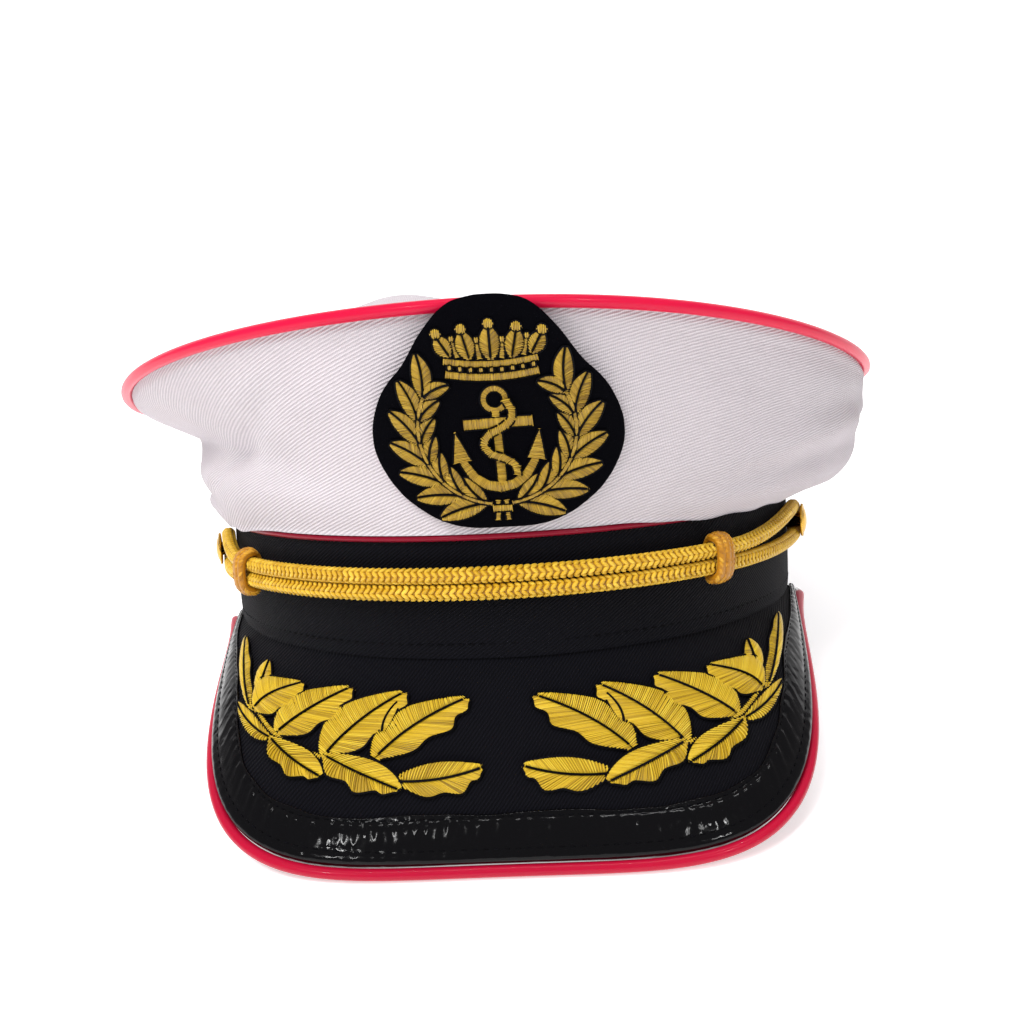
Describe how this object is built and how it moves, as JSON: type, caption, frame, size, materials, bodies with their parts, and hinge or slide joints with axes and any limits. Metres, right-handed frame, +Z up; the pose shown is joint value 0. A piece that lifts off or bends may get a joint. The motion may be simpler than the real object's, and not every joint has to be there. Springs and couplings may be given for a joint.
{
  "type": "light-up captain's peaked cap",
  "caption": "White-topped captain's peaked cap with black band and visor, gold embroidery, braided chin cord and red light piping.",
  "frame": {"origin": "centre of the bounding box at the level the cap stands on", "axes": "+X to the wearer's left, +Y towards the back of the cap, +Z up; the cap stands tipped back on its visor edge and the back of its band"},
  "size_m": [0.236, 0.2632, 0.1352],
  "materials": {
    "white_twill": "matte twill weave",
    "black_twill": "matte twill weave",
    "patent_pvc": "high gloss, crinkled",
    "light_tube": "translucent, glowing when on",
    "gold_cord": "braided rayon, silky",
    "gold_thread": "satin stitch, silky",
    "gold_metal": "polished, lacquered",
    "black_felt": "pressed felt",
    "stiffener_card": "plain board",
    "sweatband_cloth": "plain weave",
    "lining_cloth": "plain lining cloth",
    "black_plastic": "fine texture",
    "cell_steel": "plain plated steel",
    "board_green": "coated board",
    "clear_resin": "clear resin",
    "lead_insulation": "smooth"
  },
  "bodies": {
    "cap": {"band_cover": "black_twill", "band_stiffener": "stiffener_card", "sweatband": "sweatband_cloth", "crown_side_front": "white_twill", "crown_side_back": "white_twill", "crown_top": "white_twill", "crown_light_tube": "light_tube", "band_light_tube": "light_tube", "visor_light_tube": "light_tube", "visor_cover": "black_twill", "visor_board": "stiffener_card", "visor_lining": "black_twill", "visor_binding": "patent_pvc", "visor_embroidery_left": "gold_thread", "visor_embroidery_right": "gold_thread", "badge_patch": "black_felt", "badge_wreath_left": "gold_thread", "badge_wreath_right": "gold_thread", "badge_wreath_tie": "gold_thread", "badge_anchor": "gold_thread", "badge_rope": "gold_thread", "badge_coronet": "gold_thread", "front_stay": "stiffener_card", "chin_cord": "gold_cord", "crown_lining": "lining_cloth", "battery_case": "black_plastic", "coin_cell_lower": "cell_steel", "coin_cell_upper": "cell_steel", "driver_board": "board_green", "led_crown": "clear_resin", "led_band": "clear_resin", "led_visor": "clear_resin", "light_lead_crown": "lead_insulation", "light_lead_band": "lead_insulation", "light_lead_visor": "lead_insulation"},
    "knot_left": {"slide_knot_left": "gold_cord"},
    "knot_right": {"slide_knot_right": "gold_cord"},
    "side_button_left": {"button_left": "gold_metal"},
    "side_button_right": {"button_right": "gold_metal"},
    "cell_cover": {"battery_cover": "black_plastic"},
    "power_button": {"switch_button": "black_plastic"}
  },
  "joints": [
    {"name": "knot_left_travel", "type": "hinge", "parent": "cap", "child": "knot_left", "pos_m": [0.00987, -0.00696, 0.04309], "axis": [0, 0.2131, 0.977], "range_deg": [0, 20]},
    {"name": "knot_right_travel", "type": "hinge", "parent": "cap", "child": "knot_right", "pos_m": [-0.00019, -0.01262, 0.04432], "axis": [0, 0.2131, 0.977], "range_deg": [-20, 0]},
    {"name": "button_left_turn", "type": "hinge", "parent": "cap", "child": "side_button_left", "pos_m": [-0.08551, -0.02767, 0.04996], "axis": [-0.9621, -0.2665, 0.0581], "range_deg": [-60, 60]},
    {"name": "button_right_turn", "type": "hinge", "parent": "cap", "child": "side_button_right", "pos_m": [0.09071, -0.02767, 0.04996], "axis": [0.9621, -0.2665, 0.0581], "range_deg": [-60, 60]},
    {"name": "cell_cover_slide", "type": "slide", "parent": "cap", "child": "cell_cover", "axis": [0, 0.977, -0.2131], "range_m": [0, 0.02]},
    {"name": "power_button_press", "type": "slide", "parent": "cap", "child": "power_button", "axis": [0, 0.2131, 0.977], "range_m": [0, 0.001], "stiffness_N_per_m": 300}
  ]
}
